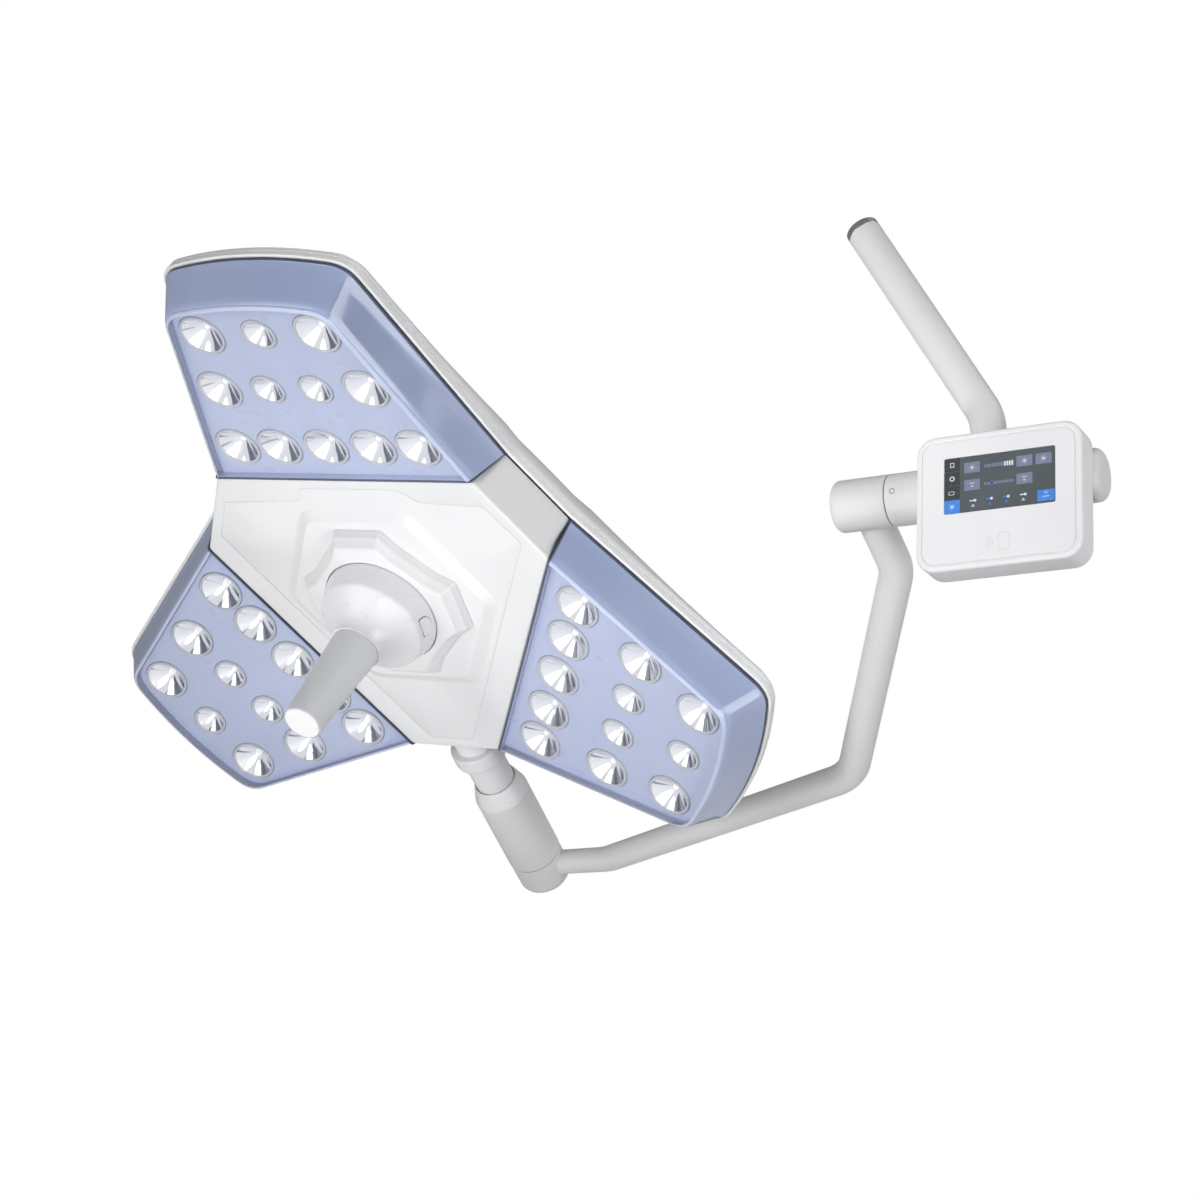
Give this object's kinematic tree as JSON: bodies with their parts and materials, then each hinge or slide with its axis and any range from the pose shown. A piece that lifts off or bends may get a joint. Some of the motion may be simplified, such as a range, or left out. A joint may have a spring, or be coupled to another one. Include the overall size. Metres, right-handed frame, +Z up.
{
  "type": "dental operating light",
  "caption": "Ceiling-hung LED operating light: three-petal head in a two-axis yoke, with sterile handle and touch panel on the hinge barrel.",
  "frame": {"origin": "centre of the flat end face at the upper end of the drop tube, where the carrying arm bolts on", "axes": "+Z up; +X along the horizontal hinge barrel, away from the lamp head; the control panel faces -Y"},
  "size_m": [0.975, 0.6419, 0.4542],
  "materials": {
    "shell_white": "gloss white moulded plastic",
    "arm_white": "white powder coat, satin",
    "handle_white": "satin white moulded plastic",
    "grip_grey": "light grey autoclavable plastic, satin",
    "panel_white": "white moulded plastic, satin",
    "cover_blue": "clear blue-tinted polycarbonate, gloss",
    "mask_blue": "blue-grey moulded plastic, satin",
    "seal_grey": "dark rubber gasket",
    "trim_grey": "light grey plastic",
    "chrome": "vacuum-metallised plastic, mirror bright",
    "steel": "machined steel",
    "aluminium": "machined aluminium",
    "bronze": "sintered bronze",
    "board_green": "green circuit board",
    "screen_black": "dark display glass"
  },
  "bodies": {
    "fixed_arm": {"drop_tube": "arm_white", "arm_end_fitting": "steel", "fixed_barrel": "arm_white", "barrel_end_cap": "arm_white", "axle_set_screw": "steel", "axle_holder": "aluminium", "hinge_axle": "steel", "axle_nut": "steel", "panel_housing": "panel_white", "panel_front": "panel_white", "panel_screen": "screen_black", "panel_board": "board_green", "panel_bracket": "aluminium", "bracket_screw_1": "steel", "bracket_screw_2": "steel"},
    "yoke": {"yoke_sleeve": "arm_white", "outer_yoke_bush": "bronze", "inner_yoke_bush": "bronze", "yoke_tube": "arm_white", "neck_collar": "handle_white", "lower_barrel": "arm_white", "lower_end_cap": "arm_white", "upper_neck_bush": "bronze", "lower_neck_bush": "bronze", "friction_washer": "seal_grey"},
    "head": {"neck_spindle": "shell_white", "neck_root_ring": "shell_white", "spindle_nut": "steel", "centre_frame": "aluminium", "neck_clamp": "aluminium", "driver_board": "board_green", "handle_bearing": "steel", "hub_cover": "shell_white", "nut_ring": "shell_white", "rear_shell": "shell_white", "rear_cap": "trim_grey", "lens_cover_1": "cover_blue", "cover_seal_1": "seal_grey", "led_mask_1": "mask_blue", "reflector_array_1": "chrome", "led_board_1": "board_green", "heat_sink_1": "aluminium", "lens_cover_2": "cover_blue", "cover_seal_2": "seal_grey", "led_mask_2": "mask_blue", "reflector_array_2": "chrome", "led_board_2": "board_green", "heat_sink_2": "aluminium", "lens_cover_3": "cover_blue", "cover_seal_3": "seal_grey", "led_mask_3": "mask_blue", "reflector_array_3": "chrome", "led_board_3": "board_green", "heat_sink_3": "aluminium"},
    "handle": {"handle_base": "handle_white", "handle_post": "steel", "base_carrier": "aluminium", "sterile_grip": "grip_grey"},
    "release_button": {"release_button": "trim_grey", "button_spring": "steel"}
  },
  "joints": [
    {"name": "yoke_swing", "type": "hinge", "parent": "fixed_arm", "child": "yoke", "pos_m": [0.007, 0, -0.235], "axis": [1, 0, 0], "range_deg": [-120, 45]},
    {"name": "head_turn", "type": "hinge", "parent": "yoke", "child": "head", "pos_m": [-0.4616, 0.31011, -0.3954], "axis": [-0.0703, 0.886, -0.4583], "range_deg": [-150, 150]},
    {"name": "handle_twist", "type": "hinge", "parent": "head", "child": "handle", "pos_m": [-0.44396, 0.00717, -0.2838], "axis": [-0.1134, -0.5554, -0.8238], "range_deg": [-90, 90]},
    {"name": "button_press", "type": "slide", "parent": "handle", "child": "release_button", "axis": [-0.914, 0.0717, 0.3993], "range_m": [0, 0.0025], "stiffness_N_per_m": 400, "springref_m": -0.001}
  ]
}
